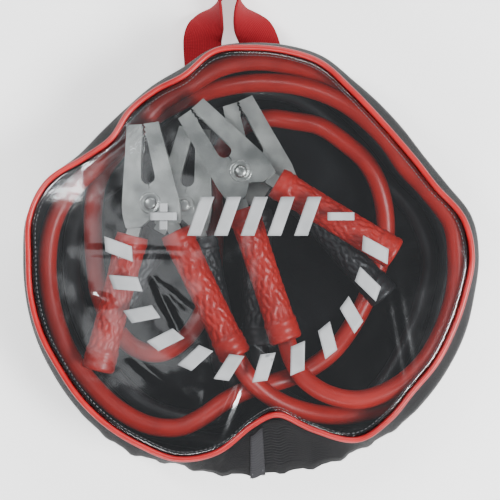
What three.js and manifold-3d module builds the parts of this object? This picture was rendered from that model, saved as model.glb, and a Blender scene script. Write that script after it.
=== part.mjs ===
// A round zip-type carry bag with a clear front, packed with a set of booster cables:
// a red lead and a black lead, each with a spring clamp at both ends.
// Millimetres. The bag lies on its back: +Z is up out of the clear front, +Y runs towards the handle.
// The origin is the middle of the back panel's underside.

import * as THREE from "three";
import { mergeVertices } from "three/addons/utils/BufferGeometryUtils.js";
import Module from "manifold-3d";

const wasm = await Module();
wasm.setup();

// Bag sizes
const BAG_RADIUS = 135;
const BAG_DEPTH = 62.5;
const BACK_THICKNESS = 1.2;
const WALL_THICKNESS = 1.2;
const FRONT_THICKNESS = 0.8;
const FRONT_DOME = 2.2;
const PIPING_RADIUS = 1.8;
const FOOT_INSET = 4;
const SEWN_GAP = 0.3;
const BAG_STEPS = 48;

// Strap sizes
const STRAP_WIDTH = 25;
const STRAP_THICKNESS = 1.6;
const STRAP_STEPS = 30;

// Lead sizes
const LEAD_DIAMETER = 12;
const LEAD_SIDES = 8;
const LEAD_IN_GRIP = 18;

// Clamp sizes
const SHEET = 1.2;
const JAW_LENGTH = 50;
const TIP_WIDTH = 10;
const HEAD_WIDTH = 18;
const HEAD_DEPTH = 18;
const HEAD_TAIL = 14;
const EAR_RADIUS = 8.7;
const TOOTH_DEPTH = 1.3;
const TOOTH_PITCH = 3;
const TOOTH_COUNT = 3;
const BITE_GAP = 0.3;
const NOTCH_RADIUS = 4.5;
const NOTCH_BOTTOM = 12;
const RIVET_RADIUS = 2.6;
const RIVET_HEAD_RADIUS = 4;
const RIVET_HEAD_HEIGHT = 1.2;
const RUNNING_GAP = 0.3;
const SPRING_WIRE = 2;
const TANG_WIDTH = 8;
const TANG_DEPTH = 10;
const TANG_LENGTH = 34;
const GRIP_START = new THREE.Vector2(13.5, -19);
const GRIP_ANGLE = 20.2;
const GRIP_LENGTH = 87;
const GRIP_RADIUS = 9.5;
const COLLAR_RADIUS = 10.4;
const COLLAR_NEAR = 9;
const COLLAR_FAR = 13;
const COLLAR_STEP = 1;
const GRIP_SIDES = 16;
const TANG_FIT = 0.3;

// Heights of the two layers of clamps inside the bag
const UPPER_LAYER = 48.5;
const LOWER_LAYER = 26;

// How far each stretch of the bag's outline lies from its middle, every 10 degrees from +X
// towards +Y, as a share of the bag's radius: first the widest line round the side wall, then the
// front rim.
const GIRTH_SHAPE = [
  1.052, 1.035, 0.963, 0.921, 0.915, 0.923, 0.941, 0.979, 0.987,
  0.985, 0.977, 0.925, 0.907, 0.892, 0.896, 0.925, 1.010, 1.052,
  1.053, 1.058, 1.061, 1.062, 1.068, 1.070, 1.061, 1.021, 1.017,
  1.006, 1.005, 1.020, 1.022, 1.039, 1.044, 1.047, 1.050, 1.047,
];
const RIM_SHAPE = [
  1.013, 0.988, 0.907, 0.871, 0.857, 0.865, 0.894, 0.941, 0.953,
  0.955, 0.953, 0.883, 0.876, 0.866, 0.836, 0.890, 0.993, 1.030,
  1.020, 1.026, 1.027, 1.019, 1.021, 1.017, 1.005, 0.990, 0.914,
  0.780, 0.738, 0.849, 0.972, 0.981, 0.966, 0.980, 0.987, 0.998,
];

const COLOURS = {
  black_cloth: [0x121214, 0.75, 0],
  clear_sheet: [0xc9ced2, 0.1, 0],
  red_trim: [0xb3121c, 0.4, 0],
  red_webbing: [0xb8102a, 0.85, 0],
  red_rubber: [0xc8281e, 0.45, 0],
  black_rubber: [0x161618, 0.45, 0],
  zinc: [0xaeb2b0, 0.35, 1],
  spring_steel: [0x8c9094, 0.35, 1],
};

const bag = new THREE.Group();

function finish(name) {
  const [color, roughness, metalness] = COLOURS[name];
  const clear = name === "clear_sheet";
  const opacity = clear ? 0.3 : 1;
  return new THREE.MeshStandardMaterial({ color, roughness, metalness, transparent: clear, opacity });
}

function add(group, name, geometry, finishName) {
  const mesh = new THREE.Mesh(geometry, finish(finishName));
  mesh.name = name;
  group.add(mesh);
  return mesh;
}

// Smooth closed outline through the shape list, for an angle in radians
function outlineRadius(shape, angle) {
  const count = shape.length;
  const place = ((angle / (2 * Math.PI)) * count + count) % count;
  const first = Math.floor(place) % count;
  const t = place - Math.floor(place);
  const [a, b, c, d] = [-1, 0, 1, 2].map((step) => shape[(first + step + count) % count]);
  const bend = 2 * a - 5 * b + 4 * c - d;
  const share = 0.5 * (2 * b + (c - a) * t + bend * t * t + (3 * b - a - 3 * c + d) * t ** 3);
  return BAG_RADIUS * share;
}

function smoothStep(low, high, value) {
  const t = Math.min(1, Math.max(0, (value - low) / (high - low)));
  return t * t * (3 - 2 * t);
}

// The side wall's outer radius at a share of its height: it leans out from the foot to the girth
// and turns in to the front rim near the top.
function wallRadius(angle, share) {
  const girth = outlineRadius(GIRTH_SHAPE, angle);
  const rim = outlineRadius(RIM_SHAPE, angle);
  const foot = FOOT_INSET * (1 - smoothStep(0, 0.3, share));
  return girth - foot + (rim - girth) * smoothStep(0.84, 1, share);
}

// Turns a profile round Z, then moves each point out to the bag's outline
function turnedToOutline(profile, radiusAt) {
  const points = profile.map(([x, z]) => new THREE.Vector2(x, z));
  const geometry = new THREE.LatheGeometry(points, BAG_STEPS);
  geometry.rotateX(Math.PI / 2);
  const place = geometry.attributes.position;
  for (let i = 0; i < place.count; i += 1) {
    const angle = Math.atan2(place.getY(i), place.getX(i));
    const across = Math.hypot(place.getX(i), place.getY(i));
    const radius = across < 1e-6 ? 0 : radiusAt(angle, across, place.getZ(i));
    place.setXY(i, radius * Math.cos(angle), radius * Math.sin(angle));
  }
  geometry.computeVertexNormals();
  return geometry;
}

// Back panel: a flat disc with the foot's outline
const REFERENCE = 100;
const backProfile = [
  [0, 0],
  [REFERENCE, 0],
  [REFERENCE, BACK_THICKNESS],
  [0, BACK_THICKNESS],
];
const backRadius = (angle, across) => (across / REFERENCE) * wallRadius(angle, 0);
add(bag, "back_panel", turnedToOutline(backProfile, backRadius), "black_cloth");

// Side wall: a thin ring that stands on the back panel and ends under the piping
const WALL_FOOT = BACK_THICKNESS + SEWN_GAP;
const WALL_TOP = BAG_DEPTH - PIPING_RADIUS - SEWN_GAP;
const WALL_SHARES = [0, 0.15, 0.4, 0.84, 0.93, 1];
const wallHeight = (share) => WALL_FOOT + share * (WALL_TOP - WALL_FOOT);
const wallOuter = WALL_SHARES.map((share) => [REFERENCE, wallHeight(share)]);
const wallInner = wallOuter.map(([x, z]) => [x - WALL_THICKNESS, z]).reverse();
const wallProfile = [...wallOuter, ...wallInner, wallOuter[0]];
const ringRadius = (angle, across, z) =>
  wallRadius(angle, (z - WALL_FOOT) / (WALL_TOP - WALL_FOOT)) + across - REFERENCE;
add(bag, "side_wall", turnedToOutline(wallProfile, ringRadius), "black_cloth");

// Red piping sewn round the front rim
const PIPING_SIDES = 8;
const pipingProfile = [];
for (let i = 0; i <= PIPING_SIDES; i += 1) {
  const turn = ((i % PIPING_SIDES) / PIPING_SIDES) * 2 * Math.PI;
  pipingProfile.push([
    REFERENCE + PIPING_RADIUS * Math.cos(turn),
    BAG_DEPTH + PIPING_RADIUS * Math.sin(turn),
  ]);
}
const rimRadius = (angle, across) => outlineRadius(RIM_SHAPE, angle) + across - REFERENCE;
add(bag, "front_piping", turnedToOutline(pipingProfile, rimRadius), "red_trim");

// Clear front: a thin sheet inside the piping, a little domed over what it holds
const frontEdge = BAG_DEPTH - FRONT_THICKNESS / 2;
const FRONT_SHARES = [0, 0.35, 0.7, 0.9, 1];
const frontLower = FRONT_SHARES.map((share) => [
  REFERENCE * share,
  frontEdge + FRONT_DOME * (1 - share ** 3),
]);
const frontUpper = frontLower.map(([x, z]) => [x, z + FRONT_THICKNESS]).reverse();
const frontRadius = (angle, across) =>
  (across / REFERENCE) * (outlineRadius(RIM_SHAPE, angle) - PIPING_RADIUS - SEWN_GAP);
add(bag, "clear_front", turnedToOutline([...frontLower, ...frontUpper], frontRadius), "clear_sheet");

// Carry strap: webbing that leaves the wall flat, twists on edge at the top of its loop, where it
// rests on the floor, and comes back flat. Points along its middle, hand-picked.
const STRAP_LIFT = STRAP_WIDTH / 2 + SEWN_GAP;
const STRAP_LEFT_ANGLE = THREE.MathUtils.degToRad(104);
const STRAP_RIGHT_ANGLE = THREE.MathUtils.degToRad(86.5);
const STRAP_SEAM = 6;
const strapEnd = (angle) => {
  const radius = outlineRadius(GIRTH_SHAPE, angle) - STRAP_SEAM;
  return new THREE.Vector3(radius * Math.cos(angle), radius * Math.sin(angle), STRAP_LIFT);
};
const strapCurve = new THREE.CatmullRomCurve3([
  strapEnd(STRAP_LEFT_ANGLE),
  new THREE.Vector3(-31.5, 141, STRAP_LIFT),
  new THREE.Vector3(-28, 151, STRAP_LIFT),
  new THREE.Vector3(-23.5, 160, STRAP_LIFT),
  new THREE.Vector3(-19.5, 169, STRAP_LIFT),
  new THREE.Vector3(-13.5, 173, STRAP_LIFT),
  new THREE.Vector3(-8, 168.5, STRAP_LIFT),
  new THREE.Vector3(-5.5, 160, STRAP_LIFT),
  new THREE.Vector3(-1, 151, STRAP_LIFT),
  new THREE.Vector3(4.5, 142, STRAP_LIFT),
  strapEnd(STRAP_RIGHT_ANGLE),
], false, "catmullrom", 0.5);

function strapGeometry() {
  const geometry = new THREE.BoxGeometry(1, 1, 1, STRAP_STEPS, 1, 1);
  const place = geometry.attributes.position;
  for (let i = 0; i < place.count; i += 1) {
    const along = place.getX(i) + 0.5;
    const middle = strapCurve.getPoint(along);
    const ahead = strapCurve.getTangent(along);
    const onEdge = smoothStep(0.06, 0.42, along) * (1 - smoothStep(0.58, 0.94, along));
    const twist = (onEdge * Math.PI) / 2;
    const side = new THREE.Vector3(ahead.y, -ahead.x, 0).normalize();
    const flip = new THREE.Vector3(side.x * Math.cos(twist), side.y * Math.cos(twist), Math.sin(twist));
    const normal = new THREE.Vector3().crossVectors(ahead, flip).normalize();
    middle.addScaledVector(flip, -place.getY(i) * STRAP_WIDTH);
    middle.addScaledVector(normal, -place.getZ(i) * STRAP_THICKNESS);
    place.setXYZ(i, middle.x, middle.y, middle.z);
  }
  geometry.computeVertexNormals();
  return geometry;
}
// Solids for cutting and joining
function toSolid(geometry) {
  const bare = geometry.clone();
  bare.deleteAttribute("normal");
  bare.deleteAttribute("uv");
  const merged = mergeVertices(bare);
  const vertProperties = new Float32Array(merged.attributes.position.array);
  const triVerts = new Uint32Array(merged.index.array);
  return new wasm.Manifold(new wasm.Mesh({ numProp: 3, vertProperties, triVerts }));
}

function toGeometry(solid) {
  const mesh = solid.getMesh();
  const geometry = new THREE.BufferGeometry();
  geometry.setAttribute("position", new THREE.BufferAttribute(mesh.vertProperties, 3));
  geometry.setIndex(new THREE.BufferAttribute(mesh.triVerts, 1));
  geometry.computeVertexNormals();
  return geometry;
}

function slab(shape, depth) {
  const geometry = new THREE.ExtrudeGeometry(shape, { depth, bevelEnabled: false, curveSegments: 6 });
  geometry.translate(0, 0, -depth / 2);
  return toSolid(geometry);
}

// The strap's ends are cut to the wall that they are sewn on
const seamProfile = [
  [0, -BAG_DEPTH],
  [REFERENCE + SEWN_GAP, -BAG_DEPTH],
  ...wallOuter.map(([x, z]) => [x + SEWN_GAP, z]),
  [REFERENCE + SEWN_GAP, 2 * BAG_DEPTH],
  [0, 2 * BAG_DEPTH],
];
const seamRadius = (angle, across, z) => {
  const share = Math.min(1, Math.max(0, (z - WALL_FOOT) / (WALL_TOP - WALL_FOOT)));
  return wallRadius(angle, share) + across - REFERENCE;
};
const wallBody = toSolid(turnedToOutline(seamProfile, seamRadius));
add(bag, "carry_strap", toGeometry(toSolid(strapGeometry()).subtract(wallBody)), "red_webbing");

// Half of a clamp, drawn for the +X side with the pivot at the origin and the tips towards +Y
const tangReach = Math.hypot(TANG_WIDTH / 2, TANG_DEPTH / 2);
const gripBore = (tangReach + TANG_FIT) / Math.cos(Math.PI / GRIP_SIDES);
const gripAim = THREE.MathUtils.degToRad(GRIP_ANGLE);
const gripAxis = new THREE.Vector2(Math.sin(gripAim), -Math.cos(gripAim));
const gripEnd = GRIP_START.clone().addScaledVector(gripAxis, GRIP_LENGTH);
const TAIL_INNER = 7;
const NOTCH_TOP = JAW_LENGTH - TOOTH_COUNT * TOOTH_PITCH;

function headOutline() {
  const shape = new THREE.Shape();
  shape.moveTo(HEAD_WIDTH, 0);
  shape.lineTo(TIP_WIDTH, JAW_LENGTH);
  for (let i = 0; i < TOOTH_COUNT; i += 1) {
    const top = JAW_LENGTH - i * TOOTH_PITCH;
    shape.lineTo(BITE_GAP, top - 0.2 * TOOTH_PITCH);
    shape.lineTo(BITE_GAP + TOOTH_DEPTH, top - TOOTH_PITCH);
  }
  shape.lineTo(NOTCH_RADIUS, NOTCH_BOTTOM + NOTCH_RADIUS);
  shape.absarc(0, NOTCH_BOTTOM + NOTCH_RADIUS, NOTCH_RADIUS, 0, -Math.PI / 2 + 0.08, true);
  shape.lineTo(BITE_GAP, EAR_RADIUS);
  shape.absarc(0, 0, EAR_RADIUS, Math.PI / 2, (3 * Math.PI) / 2, false);
  shape.lineTo(TAIL_INNER, -HEAD_TAIL);
  shape.lineTo(HEAD_WIDTH - SHEET, -HEAD_TAIL);
  shape.lineTo(HEAD_WIDTH, -HEAD_TAIL / 2);
  return shape;
}

function headHollow() {
  const shape = new THREE.Shape();
  const past = JAW_LENGTH + SHEET;
  shape.moveTo(HEAD_WIDTH - SHEET, 0);
  shape.lineTo(TIP_WIDTH - SHEET, past);
  shape.lineTo(-HEAD_WIDTH, past);
  shape.lineTo(-HEAD_WIDTH, -HEAD_TAIL + SHEET);
  shape.lineTo(HEAD_WIDTH - 2 * SHEET, -HEAD_TAIL + SHEET);
  shape.lineTo(HEAD_WIDTH - SHEET, -HEAD_TAIL / 2);
  return shape;
}

// The tang starts in the head's lower wall and ends inside the grip's bore
function tangOutline() {
  const shape = new THREE.Shape();
  const across = new THREE.Vector2(-gripAxis.y, gripAxis.x).multiplyScalar(TANG_WIDTH / 2);
  const reach = (GRIP_START.y + HEAD_TAIL - SHEET / 2) / gripAxis.y;
  const near = GRIP_START.clone().addScaledVector(gripAxis, -reach);
  const far = near.clone().addScaledVector(gripAxis, TANG_LENGTH);
  shape.moveTo(near.x - across.x, near.y - across.y);
  shape.lineTo(far.x - across.x, far.y - across.y);
  shape.lineTo(far.x + across.x, far.y + across.y);
  shape.lineTo(near.x + across.x, near.y + across.y);
  return shape;
}

function round(radius, depth) {
  const geometry = new THREE.CylinderGeometry(radius, radius, depth, 16);
  geometry.rotateX(Math.PI / 2);
  return toSolid(geometry);
}

// side is 1 for the half whose plates lie outside, -1 for the half that nests inside it
function jawGeometry(side, depth) {
  const channel = slab(headOutline(), depth).subtract(slab(headHollow(), depth - 2 * SHEET));
  const tang = slab(tangOutline(), TANG_DEPTH);
  const solid = channel.add(tang).subtract(round(RIVET_RADIUS + RUNNING_GAP, 2 * HEAD_DEPTH));
  return toGeometry(side > 0 ? solid : solid.mirror([1, 0, 0]));
}

// Ribbed rubber sleeve, open at both ends, with a collar at each end
function gripGeometry(side) {
  const profile = [
    [gripBore, 0],
    [COLLAR_RADIUS, 0],
    [COLLAR_RADIUS, COLLAR_NEAR],
    [GRIP_RADIUS, COLLAR_NEAR + COLLAR_STEP],
    [GRIP_RADIUS, GRIP_LENGTH - COLLAR_FAR - COLLAR_STEP],
    [COLLAR_RADIUS, GRIP_LENGTH - COLLAR_FAR],
    [COLLAR_RADIUS, GRIP_LENGTH],
    [gripBore, GRIP_LENGTH],
    [gripBore, 0],
  ];
  const points = profile.map(([x, y]) => new THREE.Vector2(x, y));
  const geometry = new THREE.LatheGeometry(points, GRIP_SIDES);
  geometry.rotateZ(Math.PI + side * gripAim);
  geometry.translate(side * GRIP_START.x, GRIP_START.y, 0);
  return geometry;
}

function rivetGeometry() {
  const half = HEAD_DEPTH / 2 + RUNNING_GAP;
  const top = half + RIVET_HEAD_HEIGHT;
  const profile = [
    [0, -top],
    [RIVET_HEAD_RADIUS, -top],
    [RIVET_HEAD_RADIUS, -half],
    [RIVET_RADIUS, -half],
    [RIVET_RADIUS, half],
    [RIVET_HEAD_RADIUS, half],
    [RIVET_HEAD_RADIUS, top],
    [0, top],
  ];
  const geometry = new THREE.LatheGeometry(profile.map(([x, y]) => new THREE.Vector2(x, y)), 12);
  geometry.rotateX(Math.PI / 2);
  return geometry;
}

function springGeometry(depth) {
  const inner = RIVET_RADIUS + RUNNING_GAP;
  const outer = inner + SPRING_WIRE;
  const half = depth / 2 - SHEET - RUNNING_GAP;
  const profile = [
    [inner, -half],
    [outer, -half],
    [outer, half],
    [inner, half],
    [inner, -half],
  ];
  const geometry = new THREE.LatheGeometry(profile.map(([x, y]) => new THREE.Vector2(x, y)), 12);
  geometry.rotateX(Math.PI / 2);
  return geometry;
}

// A clamp lies on its side: lean turns its tips towards -X. fixedSide is the side of the half
// whose grip holds the lead; the other half opens.
const NESTED_DEPTH = HEAD_DEPTH - 2 * (SHEET + RUNNING_GAP);

function addClamp(name, colour, pivot, lean, layer, fixedSide) {
  const clamp = new THREE.Group();
  const rubber = `${colour}_rubber`;
  for (const side of [fixedSide, -fixedSide]) {
    const half = side === fixedSide ? "fixed" : "moving";
    const depth = side > 0 ? HEAD_DEPTH : NESTED_DEPTH;
    add(clamp, `${name}_${half}_jaw`, jawGeometry(side, depth), "zinc");
    add(clamp, `${name}_${half}_grip`, gripGeometry(side), rubber);
  }
  add(clamp, `${name}_rivet`, rivetGeometry(), "zinc");
  add(clamp, `${name}_spring`, springGeometry(NESTED_DEPTH), "spring_steel");
  clamp.position.set(pivot[0], pivot[1], layer);
  clamp.rotation.z = THREE.MathUtils.degToRad(lean);
  clamp.updateMatrixWorld();
  bag.add(clamp);
  const onAxis = (distance) => {
    const spot = GRIP_START.clone().addScaledVector(gripAxis, distance);
    return clamp.localToWorld(new THREE.Vector3(fixedSide * spot.x, spot.y, 0));
  };
  return [onAxis(GRIP_LENGTH - LEAD_IN_GRIP), onAxis(GRIP_LENGTH)];
}

const redLeft = addClamp("red_left", "red", [-62.6, 32.9], 5.5, UPPER_LAYER, 1);
const redRight = addClamp("red_right", "red", [-6.4, 52.7], 38.5, UPPER_LAYER, -1);
const blackLeft = addClamp("black_left", "black", [-42.8, 32.2], -8, LOWER_LAYER, 1);
const blackRight = addClamp("black_right", "black", [9.3, 52.1], 21, LOWER_LAYER, -1);

// Red lead, hand-picked: out of the left clamp, once round the bag by the right side, in across
// the bottom, up the right inside, back down the middle under the clamps, up the left, and once
// more over the top to the right clamp.
const redRoute = [
  ...redLeft.map((spot) => spot.toArray()),
  [-1, -77, 46], [14, -90, 42], [34, -98.5, 38.5], [59, -101.5, 37], [85, -95, 37], [107, -77, 37],
  [122, -54, 37], [129.5, -28, 37], [131, 0, 37], [127.5, 23, 37], [115, 42, 36.5], [101, 58, 36.5],
  [89, 74, 36.5], [75, 89, 36.5], [59, 102, 36], [42, 115, 36], [21, 122, 35.5], [0, 124, 35],
  [-21, 119.5, 34.5], [-39, 109, 33.5], [-57, 98, 32.8], [-71, 84, 32.8], [-84.5, 71, 32.8],
  [-99, 57, 32.8], [-115, 42, 32.8], [-126, 22, 32.8], [-130, 0, 32.8], [-129, -22, 32.8],
  [-124, -44, 32.8], [-114, -66, 33], [-99, -85, 33.5], [-83, -99, 34.5], [-64, -108, 35.5],
  [-45, -109, 36], [-30, -102, 35.5], [-17, -93, 34.5], [-3, -86, 33.5], [13, -81.5, 32.4],
  [33, -75, 26.5], [52, -63, 17.5], [68, -43, 9], [80.6, -16, 8], [88, 14, 12], [84, 42, 18.6],
  [75, 60, 20.8], [61, 73, 20.6], [45, 84, 17], [29, 88, 10], [8, 90, 8], [-9, 82, 8], [-20, 67, 8],
  [-24, 48, 8], [-24, 27, 8], [-24, 5, 8], [-26, -17, 8], [-32, -38, 8], [-44, -55, 8],
  [-60, -64, 8], [-77, -60, 8], [-90, -46, 8], [-99, -27, 8], [-102, -8, 8.5], [-103, 12, 13],
  [-102, 32, 19.8], [-98, 51, 20.2], [-86, 68.5, 20.2], [-71, 84, 20.2], [-55, 95, 20.2],
  [-38, 103, 21.5], [-20, 108, 25.5], [0, 110.5, 31], [20, 109.5, 37.5], [39, 105, 44], [57, 97, 49],
  [72, 86, 50], [86, 72, 50], [97, 56, 50], [111, 41, 50], [126, 20, 50], [129, 0, 50],
  [128, -22, 50], [121, -45, 50], [109, -66, 50], [91, -82, 50], [69, -90, 50], [49, -87, 50],
  [34, -77.5, 49.3], [26.1, -65, 48.6],
  ...redRight.reverse().map((spot) => spot.toArray()),
];

// Black lead: from the left clamp it drops to the back panel, lies in two flat turns against the
// wall, the first inside the second, and climbs over the first to the right clamp.
const COIL_HEIGHT = BACK_THICKNESS + LEAD_DIAMETER / 2 + SEWN_GAP;
const COIL_STEP_DEGREES = 15;
const COIL_FIRST = 240;
const COIL_LAST = -375;
const COIL_OUTER_INSET = 11.8;
const COIL_INNER_INSET = 24.6;
const coilTurns = [];
for (let degrees = COIL_FIRST; degrees >= COIL_LAST; degrees -= COIL_STEP_DEGREES) {
  const angle = THREE.MathUtils.degToRad(degrees);
  const outward = smoothStep(COIL_FIRST - 260, COIL_FIRST - 320, degrees);
  const inset = THREE.MathUtils.lerp(COIL_INNER_INSET, COIL_OUTER_INSET, outward);
  const radius = outlineRadius(GIRTH_SHAPE, angle) - inset;
  coilTurns.push([radius * Math.cos(angle), radius * Math.sin(angle), COIL_HEIGHT]);
}
const blackRoute = [
  ...blackLeft.map((spot) => spot.toArray()),
  [-11, -86, 23.5], [-12.5, -98, 16.5], [-23, -107, 10],
  ...coilTurns,
  [118, -56, 12], [107, -77, 17], [92, -94, 20.6], [74, -105, 20.6], [54, -106, 20.6], [36, -100, 20],
  [18, -90, 17.5], [9.5, -78, 19.2], [5.2, -66, 25],
  ...blackRight.reverse().map((spot) => spot.toArray()),
];

function addLead(name, route, steps, finishName) {
  const points = route.map((spot) => new THREE.Vector3(...spot));
  const curve = new THREE.CatmullRomCurve3(points, false, "centripetal");
  const section = new THREE.Shape();
  for (let i = 0; i < LEAD_SIDES; i += 1) {
    const turn = (i / LEAD_SIDES) * 2 * Math.PI;
    const corner = [(LEAD_DIAMETER / 2) * Math.cos(turn), (LEAD_DIAMETER / 2) * Math.sin(turn)];
    if (i === 0) section.moveTo(...corner);
    else section.lineTo(...corner);
  }
  const geometry = new THREE.ExtrudeGeometry(section, { steps, extrudePath: curve, bevelEnabled: false });
  add(bag, name, geometry, finishName);
}
addLead("red_lead", redRoute, 80, "red_rubber");
addLead("black_lead", blackRoute, 62, "black_rubber");

export default bag;
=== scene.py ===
# Booster cable set in a round carry bag: the finish of every surface, in metres.
import math

import bmesh
import bpy
from mathutils import Matrix, Vector, noise


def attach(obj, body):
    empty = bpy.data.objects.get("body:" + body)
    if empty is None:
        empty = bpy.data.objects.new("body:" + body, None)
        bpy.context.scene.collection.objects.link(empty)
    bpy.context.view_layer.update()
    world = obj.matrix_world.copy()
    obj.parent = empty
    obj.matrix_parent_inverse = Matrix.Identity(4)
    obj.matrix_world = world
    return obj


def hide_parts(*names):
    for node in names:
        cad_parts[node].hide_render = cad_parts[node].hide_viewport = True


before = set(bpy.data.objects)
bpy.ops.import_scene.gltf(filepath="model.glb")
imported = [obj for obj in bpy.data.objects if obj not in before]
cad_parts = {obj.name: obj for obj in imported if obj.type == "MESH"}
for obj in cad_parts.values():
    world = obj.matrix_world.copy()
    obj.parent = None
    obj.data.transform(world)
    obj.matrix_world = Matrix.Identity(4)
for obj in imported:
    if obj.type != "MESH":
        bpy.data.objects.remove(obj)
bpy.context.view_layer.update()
MM = 0.001

# Sizes of the bag, as in the part
BAG_RADIUS = 0.135
BAG_DEPTH = 0.0625
BACK_THICKNESS = 0.0012
PIPING_RADIUS = 0.0018
FOOT_INSET = 0.004
SEWN_GAP = 0.0003
WALL_FOOT = BACK_THICKNESS + SEWN_GAP
WALL_TOP = BAG_DEPTH - PIPING_RADIUS - SEWN_GAP
FRONT_THICKNESS = 0.0008
FRONT_DOME = 0.0022
ROUND_STEPS = 288

# Sizes of the leads and clamps, as in the part
LEAD_DIAMETER = 0.012
LEAD_IN_GRIP = 0.018
GRIP_START = Vector((0.0135, -0.019, 0))
GRIP_AIM = math.radians(20.2)
GRIP_LENGTH = 0.087
GRIP_RADIUS = 0.0095
COLLAR_RADIUS = 0.0104
COLLAR_NEAR = 0.009
COLLAR_FAR = 0.013
GRIP_BORE = 0.00683
RIVET_RADIUS = 0.0026
SPRING_WIRE = 0.0008
SPRING_CLEARANCE = 0.0013
SPRING_REACH = 0.0048
SPRING_TURNS = 5
SPRING_STEPS = 14
UPPER_LAYER = 0.0485
LOWER_LAYER = 0.026

# The bag's outline every 10 degrees, as in the part: the girth of the wall and the front rim
GIRTH_SHAPE = [
    1.052, 1.035, 0.963, 0.921, 0.915, 0.923, 0.941, 0.979, 0.987,
    0.985, 0.977, 0.925, 0.907, 0.892, 0.896, 0.925, 1.010, 1.052,
    1.053, 1.058, 1.061, 1.062, 1.068, 1.070, 1.061, 1.021, 1.017,
    1.006, 1.005, 1.020, 1.022, 1.039, 1.044, 1.047, 1.050, 1.047,
]
RIM_SHAPE = [
    1.013, 0.988, 0.907, 0.871, 0.857, 0.865, 0.894, 0.941, 0.953,
    0.955, 0.953, 0.883, 0.876, 0.866, 0.836, 0.890, 0.993, 1.030,
    1.020, 1.026, 1.027, 1.019, 1.021, 1.017, 1.005, 0.990, 0.914,
    0.780, 0.738, 0.849, 0.972, 0.981, 0.966, 0.980, 0.987, 0.998,
]


def smooth_step(low, high, value):
    t = min(1, max(0, (value - low) / (high - low)))
    return t * t * (3 - 2 * t)


def outline_radius(shape, angle):
    count = len(shape)
    place = (angle / (2 * math.pi) * count) % count
    first = int(place) % count
    t = place - int(place)
    a, b, c, d = (shape[(first + step) % count] for step in (-1, 0, 1, 2))
    bend = 2 * a - 5 * b + 4 * c - d
    share = 0.5 * (2 * b + (c - a) * t + bend * t * t + (3 * b - a - 3 * c + d) * t ** 3)
    return BAG_RADIUS * share


def wall_radius(angle, share):
    girth = outline_radius(GIRTH_SHAPE, angle)
    rim = outline_radius(RIM_SHAPE, angle)
    foot = FOOT_INSET * (1 - smooth_step(0, 0.3, share))
    return girth - foot + (rim - girth) * smooth_step(0.84, 1, share)


# Camera: straight down on the clear front
camera_data = bpy.data.cameras.new("camera")
camera_data.lens = 104.5
camera_data.sensor_width = 36
camera = bpy.data.objects.new("camera", camera_data)
camera.location = (-0.0006, 0.0037, 0.96)
bpy.context.scene.collection.objects.link(camera)
bpy.context.scene.camera = camera


# Nodes and materials
def material(name):
    made = bpy.data.materials.new(name)
    made.use_nodes = True
    return made, made.node_tree, made.node_tree.nodes["Principled BSDF"]


def texture(tree, kind, scale, **sockets):
    node = tree.nodes.new(kind)
    coords = tree.nodes.new("ShaderNodeTexCoord")
    tree.links.new(coords.outputs["Object"], node.inputs["Vector"])
    node.inputs["Scale"].default_value = scale
    for name, value in sockets.items():
        node.inputs[name].default_value = value
    return node


def relief_group():
    """Grain at two scales: a mask for colour and roughness, and a height for a bump."""
    group = bpy.data.node_groups.new("grain", "ShaderNodeTree")
    for name in ("Fine Scale", "Broad Scale"):
        group.interface.new_socket(name, in_out="INPUT", socket_type="NodeSocketFloat")
    for name in ("Mask", "Height"):
        group.interface.new_socket(name, in_out="OUTPUT", socket_type="NodeSocketFloat")
    entry = group.nodes.new("NodeGroupInput")
    leave = group.nodes.new("NodeGroupOutput")
    coords = group.nodes.new("ShaderNodeTexCoord")
    for source, target in (("Fine Scale", "Height"), ("Broad Scale", "Mask")):
        grain = group.nodes.new("ShaderNodeTexNoise")
        grain.inputs["Detail"].default_value = 4
        group.links.new(coords.outputs["Object"], grain.inputs["Vector"])
        group.links.new(entry.outputs[source], grain.inputs["Scale"])
        group.links.new(grain.outputs["Fac"], leave.inputs[target])
    return group


GRAIN = relief_group()


def grained(name, dark, light, rough, metallic=0.0, fine=900, broad=45, depth=0.0002):
    """A finish whose colour and roughness drift over the surface, with a fine grain in relief."""
    made, tree, shader = material(name)
    grain = tree.nodes.new("ShaderNodeGroup")
    grain.node_tree = GRAIN
    grain.inputs["Fine Scale"].default_value = fine
    grain.inputs["Broad Scale"].default_value = broad
    ramp = tree.nodes.new("ShaderNodeValToRGB")
    ramp.color_ramp.elements[0].position = 0.32
    ramp.color_ramp.elements[1].position = 0.68
    ramp.color_ramp.elements[0].color = (*dark, 1)
    ramp.color_ramp.elements[1].color = (*light, 1)
    spread = tree.nodes.new("ShaderNodeMapRange")
    spread.inputs["To Min"].default_value = rough[0]
    spread.inputs["To Max"].default_value = rough[1]
    bump = tree.nodes.new("ShaderNodeBump")
    bump.inputs["Distance"].default_value = depth
    bump.inputs["Strength"].default_value = 0.4
    tree.links.new(grain.outputs["Mask"], ramp.inputs["Fac"])
    tree.links.new(grain.outputs["Mask"], spread.inputs["Value"])
    tree.links.new(grain.outputs["Height"], bump.inputs["Height"])
    tree.links.new(ramp.outputs["Color"], shader.inputs["Base Color"])
    tree.links.new(spread.outputs["Result"], shader.inputs["Roughness"])
    tree.links.new(bump.outputs["Normal"], shader.inputs["Normal"])
    shader.inputs["Metallic"].default_value = metallic
    return made


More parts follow.
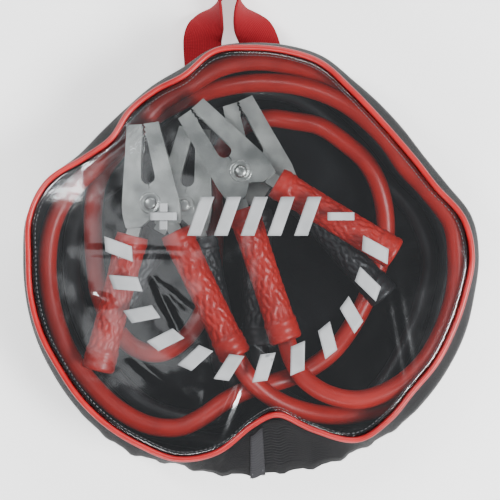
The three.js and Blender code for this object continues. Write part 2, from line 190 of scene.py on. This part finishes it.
def woven(name, dark, light, across, along, rough):
    """Cloth: two crossed waves on the piece's own UV map give the threads."""
    made, tree, shader = material(name)
    uv = tree.nodes.new("ShaderNodeUVMap")
    threads = []
    for direction, scale in (("X", along), ("Y", across)):
        wave = tree.nodes.new("ShaderNodeTexWave")
        wave.bands_direction = direction
        wave.inputs["Scale"].default_value = scale
        wave.inputs["Distortion"].default_value = 0.4
        tree.links.new(uv.outputs["UV"], wave.inputs["Vector"])
        threads.append(wave)
    both = tree.nodes.new("ShaderNodeMath")
    both.operation = "MULTIPLY"
    tree.links.new(threads[0].outputs["Fac"], both.inputs[0])
    tree.links.new(threads[1].outputs["Fac"], both.inputs[1])
    ramp = tree.nodes.new("ShaderNodeValToRGB")
    ramp.color_ramp.elements[0].color = (*dark, 1)
    ramp.color_ramp.elements[1].color = (*light, 1)
    bump = tree.nodes.new("ShaderNodeBump")
    bump.inputs["Distance"].default_value = 0.0004
    bump.inputs["Strength"].default_value = 0.7
    tree.links.new(both.outputs["Value"], ramp.inputs["Fac"])
    tree.links.new(both.outputs["Value"], bump.inputs["Height"])
    tree.links.new(ramp.outputs["Color"], shader.inputs["Base Color"])
    tree.links.new(bump.outputs["Normal"], shader.inputs["Normal"])
    shader.inputs["Roughness"].default_value = rough
    shader.inputs["Specular IOR Level"].default_value = 0.3
    return made


def clear_sheet():
    """Clear soft sheet: mostly see-through, with a glossy face that is stronger at a slant."""
    made, tree, shader = material("clear_sheet")
    shader.inputs["Base Color"].default_value = (0.86, 0.88, 0.9, 1)
    shader.inputs["Metallic"].default_value = 1.0
    shader.inputs["Roughness"].default_value = 0.12
    grain = texture(tree, "ShaderNodeTexNoise", 26, Detail=3.0)
    bump = tree.nodes.new("ShaderNodeBump")
    bump.inputs["Distance"].default_value = 0.0016
    bump.inputs["Strength"].default_value = 0.5
    tree.links.new(grain.outputs["Fac"], bump.inputs["Height"])
    tree.links.new(bump.outputs["Normal"], shader.inputs["Normal"])
    see = tree.nodes.new("ShaderNodeBsdfTransparent")
    see.inputs["Color"].default_value = (0.88, 0.89, 0.9, 1)
    slant = tree.nodes.new("ShaderNodeLayerWeight")
    slant.inputs["Blend"].default_value = 0.24
    tree.links.new(bump.outputs["Normal"], slant.inputs["Normal"])
    amount = tree.nodes.new("ShaderNodeMapRange")
    amount.inputs["To Min"].default_value = 0.05
    amount.inputs["To Max"].default_value = 0.9
    tree.links.new(slant.outputs["Fresnel"], amount.inputs["Value"])
    mix = tree.nodes.new("ShaderNodeMixShader")
    tree.links.new(amount.outputs["Result"], mix.inputs["Fac"])
    tree.links.new(see.outputs["BSDF"], mix.inputs[1])
    tree.links.new(shader.outputs["BSDF"], mix.inputs[2])
    tree.links.new(mix.outputs["Shader"], tree.nodes["Material Output"].inputs["Surface"])
    return made


RED_RUBBER = grained("red_rubber", (0.4, 0.009, 0.004), (0.56, 0.016, 0.008), (0.3, 0.44))
BLACK_RUBBER = grained("black_rubber", (0.008, 0.008, 0.009), (0.02, 0.02, 0.021), (0.35, 0.5))
ZINC = grained("zinc_plate", (0.36, 0.37, 0.35), (0.66, 0.67, 0.63), (0.24, 0.42), 1.0, 500, 60)
SPRING_STEEL = grained("spring_steel", (0.3, 0.31, 0.32), (0.5, 0.51, 0.52), (0.25, 0.4), 1.0)
RED_PIPING = grained("red_piping", (0.3, 0.004, 0.006), (0.42, 0.01, 0.012), (0.25, 0.4))
INK = grained("silver_ink", (0.26, 0.27, 0.28), (0.36, 0.37, 0.38), (0.5, 0.65), fine=300,
              depth=0.00005)
THREAD = grained("thread", (0.07, 0.07, 0.075), (0.13, 0.13, 0.14), (0.7, 0.8))
BLACK_CLOTH = woven("black_cloth", (0.002, 0.002, 0.003), (0.009, 0.009, 0.01), 60, 700, 0.42)
TAPE_CLOTH = woven("tape_cloth", (0.02, 0.02, 0.023), (0.06, 0.06, 0.066), 50, 10, 0.55)
WEBBING = woven("red_webbing", (0.24, 0.002, 0.008), (0.5, 0.006, 0.018), 7, 60, 0.75)
CLEAR = clear_sheet()


# Making pieces
def piece(name, build, finish, slot, body="root"):
    """Builds a mesh piece with bmesh and gives it its finish and body."""
    shape = bmesh.new()
    shape.loops.layers.uv.new("UVMap")
    build(shape)
    bmesh.ops.recalc_face_normals(shape, faces=shape.faces)
    mesh = bpy.data.meshes.new(name)
    shape.to_mesh(mesh)
    shape.free()
    mesh.shade_smooth()
    mesh.materials.append(finish)
    made = bpy.data.objects.new(name, mesh)
    bpy.context.scene.collection.objects.link(made)
    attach(made, body)
    return made


def thicken(made, thickness, offset=-1.0):
    wall = made.modifiers.new("thickness", "SOLIDIFY")
    wall.thickness = thickness
    wall.offset = offset
    return made


def rings(shape, count, rows, place, closed=False):
    """A circle of points extruded ring by ring, each ring set by place(angle, row)."""
    bmesh.ops.create_circle(shape, segments=count, radius=1)
    loop = sorted(shape.verts, key=lambda v: math.atan2(v.co.y, v.co.x) % (2 * math.pi))
    angles = [2 * math.pi * i / count for i in range(count)]
    first = loop
    edges = list(shape.edges)
    uv = shape.loops.layers.uv.active
    for row in range(rows):
        if row:
            grown = bmesh.ops.extrude_edge_only(shape, edges=edges)["geom"]
            fresh = {g for g in grown if isinstance(g, bmesh.types.BMVert)}
            edges = [g for g in grown if isinstance(g, bmesh.types.BMEdge)
                     and g.is_boundary and all(v in fresh for v in g.verts)]
            loop = [next(e.other_vert(v) for e in v.link_edges if e.other_vert(v) in fresh)
                    for v in loop]
        for angle, vert in zip(angles, loop):
            vert.co = place(angle, row)
    if closed:
        last = [e for e in shape.edges if e.is_boundary]
        bmesh.ops.bridge_loops(shape, edges=last)
    for face in shape.faces:
        turns = [math.atan2(c.vert.co.y, c.vert.co.x) / (2 * math.pi) for c in face.loops]
        for corner, turn in zip(face.loops, turns):
            turn += 1 if turn < 0 and max(turns) - min(turns) > 0.5 else 0
            corner[uv].uv = (turn, corner.vert.co.z / BAG_DEPTH)
    return first, loop


def tube(name, points, radius, finish, cyclic=False, kind="POLY"):
    """A round cord along the points, as a bevelled curve."""
    data = bpy.data.curves.new(name, "CURVE")
    data.dimensions = "3D"
    data.bevel_depth = radius
    data.bevel_resolution = 5
    data.use_fill_caps = True
    spline = data.splines.new(kind)
    if kind == "BEZIER":
        spline.bezier_points.add(len(points) - 1)
        for knot, point in zip(spline.bezier_points, points):
            knot.co = point
            knot.handle_left_type = "AUTO"
            knot.handle_right_type = "AUTO"
        spline.resolution_u = 8
    else:
        spline.points.add(len(points) - 1)
        for knot, point in zip(spline.points, points):
            knot.co = (*point, 1)
    spline.use_cyclic_u = cyclic
    data.materials.append(finish)
    made = bpy.data.objects.new(name, data)
    bpy.context.scene.collection.objects.link(made)
    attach(made, "root")
    return made


# Clamps: where each lies, as in the part, with the side of the half that holds the lead
CLAMPS = {
    "red_left": ((-62.6, 32.9), 5.5, UPPER_LAYER, 1, RED_RUBBER, "red_rubber"),
    "red_right": ((-6.4, 52.7), 38.5, UPPER_LAYER, -1, RED_RUBBER, "red_rubber"),
    "black_left": ((-42.8, 32.2), -8, LOWER_LAYER, 1, BLACK_RUBBER, "black_rubber"),
    "black_right": ((9.3, 52.1), 21, LOWER_LAYER, -1, BLACK_RUBBER, "black_rubber"),
}


def clamp_matrix(pivot, lean, layer):
    spot = Vector((pivot[0] * MM, pivot[1] * MM, layer))
    return Matrix.Translation(spot) @ Matrix.Rotation(math.radians(lean), 4, "Z")


# Leads: the same routes as in the part, typed in millimetres
def lead_end(name):
    """Two points on a lead's end: inside the grip, and at the grip's mouth."""
    pivot, lean, layer, side = CLAMPS[name][:4]
    axis = Vector((math.sin(GRIP_AIM), -math.cos(GRIP_AIM), 0))
    ends = []
    for distance in (GRIP_LENGTH - LEAD_IN_GRIP, GRIP_LENGTH):
        spot = GRIP_START + axis * distance
        ends.append(clamp_matrix(pivot, lean, layer) @ Vector((side * spot.x, spot.y, 0)))
    return ends


RED_ROUTE = [
    (-1, -77, 46), (14, -90, 42), (34, -98.5, 38.5), (59, -101.5, 37), (85, -95, 37), (107, -77, 37),
    (122, -54, 37), (129.5, -28, 37), (131, 0, 37), (127.5, 23, 37), (115, 42, 36.5), (101, 58, 36.5),
    (89, 74, 36.5), (75, 89, 36.5), (59, 102, 36), (42, 115, 36), (21, 122, 35.5), (0, 124, 35),
    (-21, 119.5, 34.5), (-39, 109, 33.5), (-57, 98, 32.8), (-71, 84, 32.8), (-84.5, 71, 32.8),
    (-99, 57, 32.8), (-115, 42, 32.8), (-126, 22, 32.8), (-130, 0, 32.8), (-129, -22, 32.8),
    (-124, -44, 32.8), (-114, -66, 33), (-99, -85, 33.5), (-83, -99, 34.5), (-64, -108, 35.5),
    (-45, -109, 36), (-30, -102, 35.5), (-17, -93, 34.5), (-3, -86, 33.5), (13, -81.5, 32.4),
    (33, -75, 26.5), (52, -63, 17.5), (68, -43, 9), (80.6, -16, 8), (88, 14, 12), (84, 42, 18.6),
    (75, 60, 20.8), (61, 73, 20.6), (45, 84, 17), (29, 88, 10), (8, 90, 8), (-9, 82, 8), (-20, 67, 8),
    (-24, 48, 8), (-24, 27, 8), (-24, 5, 8), (-26, -17, 8), (-32, -38, 8), (-44, -55, 8),
    (-60, -64, 8), (-77, -60, 8), (-90, -46, 8), (-99, -27, 8), (-102, -8, 8.5), (-103, 12, 13),
    (-102, 32, 19.8), (-98, 51, 20.2), (-86, 68.5, 20.2), (-71, 84, 20.2), (-55, 95, 20.2),
    (-38, 103, 21.5), (-20, 108, 25.5), (0, 110.5, 31), (20, 109.5, 37.5), (39, 105, 44), (57, 97, 49),
    (72, 86, 50), (86, 72, 50), (97, 56, 50), (111, 41, 50), (126, 20, 50), (129, 0, 50),
    (128, -22, 50), (121, -45, 50), (109, -66, 50), (91, -82, 50), (69, -90, 50), (49, -87, 50),
    (34, -77.5, 49.3), (26.1, -65, 48.6),
]
# The black lead's coil: its inner turn comes first, then it moves out to the wall
COIL_HEIGHT = BACK_THICKNESS + LEAD_DIAMETER / 2 + SEWN_GAP
COIL_FIRST = 240
COIL_LAST = -375
COIL_STEP = 15
COIL_INNER_INSET = 0.0246
COIL_OUTER_INSET = 0.0118
BLACK_START = [(-11, -86, 23.5), (-12.5, -98, 16.5), (-23, -107, 10)]
BLACK_END = [(118, -56, 12), (107, -77, 17), (92, -94, 20.6), (74, -105, 20.6), (54, -106, 20.6),
             (36, -100, 20), (18, -90, 17.5), (9.5, -78, 19.2), (5.2, -66, 25)]


def metres(route):
    return [Vector(spot) * MM for spot in route]


def coil_turns():
    points = []
    for degrees in range(COIL_FIRST, COIL_LAST - 1, -COIL_STEP):
        angle = math.radians(degrees)
        outer = 1 - smooth_step(COIL_FIRST - 320, COIL_FIRST - 260, degrees)
        inset = COIL_INNER_INSET + (COIL_OUTER_INSET - COIL_INNER_INSET) * outer
        radius = outline_radius(GIRTH_SHAPE, angle) - inset
        points.append(Vector((radius * math.cos(angle), radius * math.sin(angle), COIL_HEIGHT)))
    return points


def lead_line(points, steps=10):
    """The part's smooth line through the points, whose pace follows the root of their distances."""
    line = []
    for i in range(len(points) - 1):
        b, c = points[i], points[i + 1]
        a = points[i - 1] if i else 2 * b - c
        d = points[i + 2] if i + 2 < len(points) else 2 * c - b
        one, two, three = (math.sqrt((q - p).length) for p, q in ((a, b), (b, c), (c, d)))
        start = ((b - a) / one - (c - a) / (one + two) + (c - b) / two) * two
        end = ((c - b) / two - (d - b) / (two + three) + (d - c) / three) * two
        for step in range(steps):
            t = step / steps
            bend = 3 * (c - b) - 2 * start - end
            line.append(b + start * t + bend * t * t + (2 * (b - c) + start + end) * t ** 3)
    return [*line, points[-1]]


def length_of(line):
    return sum((b - a).length for a, b in zip(line, line[1:]))


red_points = [*lead_end("red_left"), *metres(RED_ROUTE), *reversed(lead_end("red_right"))]
black_points = [*lead_end("black_left"), *metres(BLACK_START), *coil_turns(), *metres(BLACK_END),
                *reversed(lead_end("black_right"))]
for name, points, rubber in (("red", red_points, RED_RUBBER), ("black", black_points, BLACK_RUBBER)):
    line = lead_line(points)
    lead = tube(f"{name}_cable", line, LEAD_DIAMETER / 2, rubber)
    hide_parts(f"{name}_lead")
    tuple(points[1])
    length_of(line)

# Folds of the clear front: from, to, half width and height, in millimetres
CREASES = [
    ((-61, -13), (-41, -53), 1.6, 0.9),
    ((-61, -13), (-36, -34), 1.4, 0.7),
    ((-7, -80), (-22, -117), 2.0, 1.3),
    ((-29, -86), (-35, -117), 1.8, 1.0),
    ((-75, -62), (-44, -86), 2.2, 0.9),
    ((83, -21), (95, -86), 1.3, 0.7),
    ((90, -15), (101, -80), 1.2, 0.6),
    ((3, -55), (15, -66), 1.6, 1.0),
    ((112, 34), (128, 2), 1.4, 0.8),
    ((120, 30), (133, -6), 1.2, 0.7),
    ((-116, 52), (-86, 82), 2.2, 1.2),
    ((-100, 56), (-66, 84), 1.6, 0.9),
    ((-46, 88), (-20, 112), 1.6, 0.8),
    ((70, 88), (104, 46), 1.8, 0.6),
    ((-108, 3), (-36, 2), 3.5, -0.9),
    ((-99, -25), (-84, -28), 3.5, 1.2),
    ((40, -112), (66, -106), 1.8, 0.9),
]


def front_height(x, y):
    """Height of the clear front's upper face over a point of the bag."""
    angle = math.atan2(y, x)
    edge = outline_radius(RIM_SHAPE, angle) - PIPING_RADIUS
    share = min(1, math.hypot(x, y) / edge)
    height = BAG_DEPTH + FRONT_THICKNESS / 2 + FRONT_DOME * (1 - share ** 3)
    point = Vector((x, y, 0)) / MM
    for start, end, width, rise in CREASES:
        a = Vector((*start, 0))
        b = Vector((*end, 0))
        t = max(0, min(1, (point - a).dot(b - a) / (b - a).length_squared))
        off = (point - a.lerp(b, t)).length / width
        height += rise * MM * math.exp(-off * off) * (0.35 + 0.65 * math.sin(math.pi * t))
    broad = noise.noise(Vector((x * 28, y * 28, 0.4)))
    fine = noise.noise(Vector((x * 75, y * 75, 3)))
    return height + (0.9 * broad + 0.35 * fine) * MM * (1 - share ** 6)


# The clear front
FRONT_ROWS = 64
SHEET_THICKNESS = 0.0006


def build_front(shape):
    def place(angle, row):
        share = 1 - row / FRONT_ROWS
        radius = share * (outline_radius(RIM_SHAPE, angle) - PIPING_RADIUS - SEWN_GAP)
        x = radius * math.cos(angle)
        y = radius * math.sin(angle)
        return Vector((x, y, front_height(x, y)))
    _, last = rings(shape, ROUND_STEPS, FRONT_ROWS, place)
    bmesh.ops.contextual_create(shape, geom=list(last))


front = thicken(piece("clear_sheet", build_front, CLEAR, "clear_sheet"), SHEET_THICKNESS)
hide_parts("clear_front")

# The side wall, with the soft folds of its cloth
WALL_ROWS = 26
CLOTH_THICKNESS = 0.0005
PLEATS_ROUND = 46


def fold(angle, share):
    """How far the wall's cloth stands in or out of its plain shape."""
    turn = Vector((math.cos(angle), math.sin(angle), 0))
    soft = noise.noise(turn * 3.2 + Vector((0, 0, share * 1.6))) * 1.1
    lower = smooth_step(0.55, 0.9, -math.sin(angle))
    pleats = math.sin(angle * PLEATS_ROUND + 2.2 * math.sin(share * 5)) * (0.5 + share) * lower
    calm = smooth_step(0, 0.12, share) * (1 - smooth_step(0.97, 1, share))
    return (0.4 * soft + 0.8 + 1.2 * max(-0.2, pleats) * lower) * MM * calm


def wall_point(angle, share, out=0.0):
    radius = wall_radius(angle, share) + fold(angle, share) + out
    return Vector((radius * math.cos(angle), radius * math.sin(angle),
                   WALL_FOOT + share * (WALL_TOP - WALL_FOOT)))


def build_wall(shape):
    rings(shape, ROUND_STEPS, WALL_ROWS, lambda angle, row: wall_point(angle, row / (WALL_ROWS - 1)))


wall = thicken(piece("wall_cloth", build_wall, BLACK_CLOTH, "black_cloth"), CLOTH_THICKNESS)
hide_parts("side_wall")


# The back panel, a flat disc of the same cloth
def build_back(shape):
    def place(angle, row):
        share = (1.0, 1.0, 0.6, 0.02)[row]
        height = (0.0, BACK_THICKNESS, BACK_THICKNESS, BACK_THICKNESS)[row]
        radius = share * wall_radius(angle, 0)
        return Vector((radius * math.cos(angle), radius * math.sin(angle), height))
    first, last = rings(shape, ROUND_STEPS, 4, place)
    bmesh.ops.contextual_create(shape, geom=list(last))
    bmesh.ops.contextual_create(shape, geom=list(first))


back = piece("back_cloth", build_back, BLACK_CLOTH, "black_cloth")
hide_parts("back_panel")


# Red piping round the front rim, and a thin black cord round the back seam
BACK_CORD_RADIUS = 0.0011


def rim_point(angle, inset, height):
    radius = outline_radius(RIM_SHAPE, angle) - inset
    return Vector((radius * math.cos(angle), radius * math.sin(angle), height))


STEPS = [2 * math.pi * i / ROUND_STEPS for i in range(ROUND_STEPS)]
piping = tube("rim_piping", [rim_point(a, 0, BAG_DEPTH) for a in STEPS], PIPING_RADIUS,
              RED_PIPING, cyclic=True)
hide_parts("front_piping")
foot_cord = [wall_point(a, 0.03, 0.0006) for a in STEPS]
tube("back_seam_cord", foot_cord, BACK_CORD_RADIUS, BLACK_RUBBER, cyclic=True)


STITCH_WIDTH = 0.0004
RIM_STITCHES = 300
RIM_STITCH_INSET = 0.0048
RIM_STITCH_LENGTH = 0.0016


def stitches(shape, spots, length):
    """Short raised stitches, each a little block turned along the seam."""
    for spot, along, up in spots:
        made = bmesh.ops.create_cube(shape, size=1)["verts"]
        side = up.cross(along).normalized()
        turn = Matrix((along, side, along.cross(side))).transposed().to_4x4()
        bmesh.ops.scale(shape, vec=(length, STITCH_WIDTH, STITCH_WIDTH), verts=made)
        bmesh.ops.transform(shape, matrix=Matrix.Translation(spot) @ turn, verts=made)


def build_rim_stitches(shape):
    spots = []
    for i in range(RIM_STITCHES):
        angle = 2 * math.pi * i / RIM_STITCHES
        here = rim_point(angle, RIM_STITCH_INSET, 0)
        along = (rim_point(angle + 0.004, RIM_STITCH_INSET, 0) - here).normalized()
        here.z = front_height(here.x, here.y) + 0.0001
        spots.append((here, along, Vector((0, 0, 1))))
    stitches(shape, spots, RIM_STITCH_LENGTH)


piece("rim_stitches", build_rim_stitches, THREAD, "black_cloth")


# Grey tape over the wall's seam at the bottom, and its two rows of stitches
SEAM_ANGLE = math.radians(271.8)
SEAM_HALF = math.radians(2.0)
TAPE_THICKNESS = 0.0005
SEAM_STITCHES = 24
SEAM_STITCH_LIFT = 0.0016
SEAM_STITCH_LENGTH = 0.0015


def strip(shape, columns, rows, place):
    """A flat grid set by place(u, v), with u and v from 0 to 1."""
    uv = shape.loops.layers.uv.active
    bmesh.ops.create_grid(shape, x_segments=columns, y_segments=rows, size=0.5)
    for face in shape.faces:
        for corner in face.loops:
            corner[uv].uv = (corner.vert.co.x + 0.5, corner.vert.co.y + 0.5)
    for vert in shape.verts:
        vert.co = place(vert.co.x + 0.5, vert.co.y + 0.5)


def seam_point(u, v, out=0.0009):
    return wall_point(SEAM_ANGLE + (2 * u - 1) * SEAM_HALF, 0.04 + 0.93 * v, out)


tape = piece("seam_tape", lambda s: strip(s, 6, 40, seam_point), TAPE_CLOTH, "black_cloth")
thicken(tape, TAPE_THICKNESS, 1.0)


def build_seam_stitches(shape):
    spots = []
    for side in (0.16, 0.84):
        for i in range(SEAM_STITCHES):
            v = (i + 0.5) / SEAM_STITCHES
            here = seam_point(side, v, SEAM_STITCH_LIFT)
            along = (seam_point(side, v + 0.01, SEAM_STITCH_LIFT) - here).normalized()
            out = Vector((here.x, here.y, 0)).normalized()
            spots.append((here, along, out))
    stitches(shape, spots, SEAM_STITCH_LENGTH)


piece("seam_stitches", build_seam_stitches, THREAD, "black_cloth")

# Carry strap, along the same middle line as in the part
STRAP_WIDTH = 0.025
STRAP_THICKNESS = 0.0016
STRAP_LIFT = STRAP_WIDTH / 2 + SEWN_GAP
STRAP_SEAM = 0.0015
STRAP_MIDDLE = [(-31.5, 141), (-28, 151), (-23.5, 160), (-19.5, 169), (-13.5, 173), (-8, 168.5),
                (-5.5, 160), (-1, 151), (4.5, 142)]


def strap_end(degrees):
    angle = math.radians(degrees)
    radius = outline_radius(GIRTH_SHAPE, angle) - STRAP_SEAM
    return Vector((radius * math.cos(angle), radius * math.sin(angle), STRAP_LIFT))


def smooth_path(points, t):
    """Point on a smooth line through the points, for t from 0 to 1."""
    place = min(max(t, 0), 1) * (len(points) - 1)
    first = min(int(place), len(points) - 2)
    s = place - first
    before = points[first - 1] if first else 2 * points[0] - points[1]
    after = points[first + 2] if first + 2 < len(points) else 2 * points[-1] - points[-2]
    a, b, c, d = before, points[first], points[first + 1], after
    return 0.5 * (2 * b + (c - a) * s + (2 * a - 5 * b + 4 * c - d) * s * s
                  + (3 * b - a - 3 * c + d) * s ** 3)


STRAP_POINTS = [strap_end(104), *(Vector((x * MM, y * MM, STRAP_LIFT)) for x, y in STRAP_MIDDLE),
                strap_end(86.5)]


def strap_point(u, v):
    middle = smooth_path(STRAP_POINTS, u)
    ahead = (smooth_path(STRAP_POINTS, u + 0.004) - smooth_path(STRAP_POINTS, u - 0.004)).normalized()
    twist = smooth_step(0.06, 0.42, u) * (1 - smooth_step(0.58, 0.94, u)) * math.pi / 2
    side = Vector((ahead.y, -ahead.x, 0)).normalized()
    across = side * math.cos(twist) + Vector((0, 0, math.sin(twist)))
    return middle + across * (0.5 - v) * STRAP_WIDTH


strap = piece("strap_webbing", lambda s: strip(s, 150, 14, strap_point), WEBBING, "red_webbing")
thicken(strap, STRAP_THICKNESS, 0.0)
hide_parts("carry_strap")


# Generic print on the clear front: slanted dashes on an arc, a row of plain bars between a plus
# and a minus sign
def patch(shape, centre, turn, width, height, lean=0.0):
    """A flat mark that lies on the clear front."""
    grid = bmesh.ops.create_grid(shape, x_segments=6, y_segments=6, size=0.5)["verts"]
    for vert in grid:
        x = vert.co.x * width + lean * vert.co.y * height
        y = vert.co.y * height
        px = centre[0] + x * math.cos(turn) - y * math.sin(turn)
        py = centre[1] + x * math.sin(turn) + y * math.cos(turn)
        vert.co = Vector((px, py, front_height(px, py) + 0.00012))


ARC_CENTRE = (-0.0025, 0.0099)
ARC_RADIUS = 0.0794
ARC_DASHES = 12
ARC_START = 184
ARC_STEP = 15.6
ROW_HEIGHT = 0.0245
ROW_START = -0.031
ROW_STEP = 0.0165
ROW_BARS = 5
SIGN_REACH = 0.0165
SIGN_STROKE = 0.005
SIGN_ARM = 0.0055


def build_print(shape):
    for i in range(ARC_DASHES):
        angle = math.radians(ARC_START + i * ARC_STEP)
        x = ARC_CENTRE[0] + ARC_RADIUS * math.cos(angle)
        y = ARC_CENTRE[1] + ARC_RADIUS * math.sin(angle)
        patch(shape, (x, y), angle + math.pi / 2, 0.0095, 0.0165, 0.45)
    for i in range(ROW_BARS):
        patch(shape, (ROW_START + i * ROW_STEP, ROW_HEIGHT), 0, 0.0085, 0.024, 0.35)
    plus = (-0.054, ROW_HEIGHT)
    minus = (0.0555, ROW_HEIGHT)
    patch(shape, plus, 0, SIGN_REACH, SIGN_STROKE)
    patch(shape, (plus[0], plus[1] + SIGN_ARM), 0, SIGN_STROKE, SIGN_ARM)
    patch(shape, (plus[0], plus[1] - SIGN_ARM), 0, SIGN_STROKE, SIGN_ARM)
    patch(shape, minus, 0, SIGN_REACH, SIGN_STROKE)


thicken(piece("front_print", build_print, INK, "zinc_plate"), 0.0001, 1.0)

# The clamps' rubber sleeves
GRIP_STEPS = 96
GRIP_ROWS = 74
FLUTES = 12
FLUTE_DEPTH = 0.0012
FLUTE_ROOT = GRIP_RADIUS - 0.0009
COLLAR_RISE = 0.0012
COLLAR_LIP = 0.0015


def grip_matrix(side):
    """From a sleeve that runs up Z to the grip's place in its clamp."""
    axis = Vector((side * math.sin(GRIP_AIM), -math.cos(GRIP_AIM), 0))
    across = Vector((math.cos(GRIP_AIM), side * math.sin(GRIP_AIM), 0))
    turn = Matrix((across, axis.cross(across), axis)).transposed().to_4x4()
    return Matrix.Translation((side * GRIP_START.x, GRIP_START.y, 0)) @ turn


def grip_radius(angle, along):
    """Outer radius of the grip: fluted between two stepped collars."""
    body = smooth_step(COLLAR_NEAR, COLLAR_NEAR + COLLAR_RISE, along)
    body *= 1 - smooth_step(GRIP_LENGTH - COLLAR_FAR - COLLAR_RISE, GRIP_LENGTH - COLLAR_FAR, along)
    wander = 0.24 * math.sin(along * 320) + 0.12 * math.sin(along * 900)
    flute = abs(math.sin((angle + wander) * FLUTES / 2)) ** 0.6
    step = 0.00018 * smooth_step(0.3, 0.5, math.sin(along * 620 + 3 * math.sin(angle * 6)))
    waist = 0.0005 * math.sin(math.pi * along / GRIP_LENGTH)
    fluted = FLUTE_ROOT + FLUTE_DEPTH * flute + step - waist
    lip = smooth_step(COLLAR_LIP, 0, along) + smooth_step(GRIP_LENGTH - COLLAR_LIP, GRIP_LENGTH, along)
    ring = 0.0004 * smooth_step(0.2, 0.5, math.cos((GRIP_LENGTH - along) * 1250)) * (1 - body)
    collar = COLLAR_RADIUS - 0.0005 * lip - ring
    return collar + (fluted - collar) * body


def build_grip(shape):
    def place(angle, row):
        if row < GRIP_ROWS - 3:
            along = GRIP_LENGTH * row / (GRIP_ROWS - 4)
            radius = grip_radius(angle, along)
        else:
            along = GRIP_LENGTH * (GRIP_ROWS - 1 - row) / 2
            radius = GRIP_BORE
        return Vector((radius * math.cos(angle), radius * math.sin(angle), along))
    rings(shape, GRIP_STEPS, GRIP_ROWS, place, closed=True)


def lathe(shape, profile):
    """A turned solid: the profile's radii and heights, in millimetres, with both ends closed."""
    def place(angle, row):
        radius, height = profile[row]
        return Vector((radius * math.cos(angle), radius * math.sin(angle), height)) * MM
    first, last = rings(shape, 48, len(profile), place)
    bmesh.ops.contextual_create(shape, geom=list(first))
    bmesh.ops.contextual_create(shape, geom=list(last))


# The rivet with its two domed heads, and the raised round boss under the upper head
RIVET_PROFILE = [(0.4, -10.5), (2.2, -10.4), (3.4, -10), (4, -9.4), (4, -9.25), (2.6, -9.25),
                 (2.6, 9.25), (4, 9.25), (4, 9.4), (3.4, 10), (2.2, 10.4), (0.4, 10.5)]
BOSS_PROFILE = [(6.9, 8.95), (6.8, 9.1), (6.4, 9.2), (5, 9.22), (4.6, 9.05), (3, 9.02)]


def spring_points():
    """The coil round the rivet."""
    radius = RIVET_RADIUS + SPRING_CLEARANCE
    steps = SPRING_TURNS * SPRING_STEPS
    points = []
    for i in range(steps + 1):
        angle = 2 * math.pi * i / SPRING_STEPS
        height = SPRING_REACH * (2 * i / steps - 1)
        points.append(Vector((radius * math.cos(angle), radius * math.sin(angle), height)))
    return points


for name, (pivot, lean, layer, fixed_side, rubber, slot) in CLAMPS.items():
    place = clamp_matrix(pivot, lean, layer)
    for half, side, body in (("fixed", fixed_side, "root"), ("moving", -fixed_side, f"{name}_half")):
        grip = piece(f"{name}_{half}_sleeve", build_grip, rubber, slot, body)
        grip.data.transform(place @ grip_matrix(side))
        grip.data.update()
        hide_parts(f"{name}_{half}_grip")
        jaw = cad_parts[f"{name}_{half}_jaw"].data
        jaw.materials.clear()
        jaw.materials.append(ZINC)
    rivet = piece(f"{name}_pin", lambda shape: lathe(shape, RIVET_PROFILE), ZINC, "zinc_plate")
    rivet.data.transform(place)
    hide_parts(f"{name}_rivet")
    outer_body = "root" if fixed_side > 0 else f"{name}_half"
    boss = piece(f"{name}_boss", lambda shape: lathe(shape, BOSS_PROFILE), ZINC, "zinc_plate",
                 outer_body)
    boss.data.transform(place)
    coil = [place @ p for p in spring_points()]
    spring = tube(f"{name}_coil", coil, SPRING_WIRE, SPRING_STEEL, kind="BEZIER")
    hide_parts(f"{name}_spring")


# Floor and light
floor_mesh = bpy.data.meshes.new("floor")
floor_shape = bmesh.new()
bmesh.ops.create_grid(floor_shape, x_segments=1, y_segments=1, size=3)
floor_shape.to_mesh(floor_mesh)
floor_shape.free()
floor = bpy.data.objects.new("floor", floor_mesh)
floor_paint, _, floor_shader = material("floor_paint")
floor_shader.inputs["Base Color"].default_value = (0.95, 0.95, 0.95, 1)
floor_shader.inputs["Roughness"].default_value = 0.9
floor_shader.inputs["Emission Color"].default_value = (1, 1, 1, 1)
floor_shader.inputs["Emission Strength"].default_value = 0.8
floor_mesh.materials.append(floor_paint)
bpy.context.scene.collection.objects.link(floor)


def softbox(name, spot, size, power, aim=(0, 0, 0.03)):
    data = bpy.data.lights.new(name, "AREA")
    data.shape = "RECTANGLE"
    data.size, data.size_y = size
    data.energy = power
    lamp = bpy.data.objects.new(name, data)
    lamp.location = spot
    lamp.rotation_euler = (Vector(aim) - Vector(spot)).to_track_quat("-Z", "Y").to_euler()
    bpy.context.scene.collection.objects.link(lamp)


softbox("haze", (-0.16, -0.01, 0.97), (0.16, 0.34), 0.2, (-0.16, -0.01, 0))
softbox("left_strip", (-0.5, 0.3, 0.8), (0.1, 0.6), 5)
softbox("key", (0.7, -0.3, 0.95), (0.45, 0.45), 24)
softbox("back_light", (0.3, 0.95, 0.9), (0.8, 0.3), 9)
softbox("fill", (-0.2, -0.95, 0.8), (0.7, 0.3), 10)
world = bpy.data.worlds.new("world")
world.use_nodes = True
world.node_tree.nodes["Background"].inputs["Color"].default_value = (0.95, 0.97, 1, 1)
world.node_tree.nodes["Background"].inputs["Strength"].default_value = 0.26
bpy.context.scene.world = world
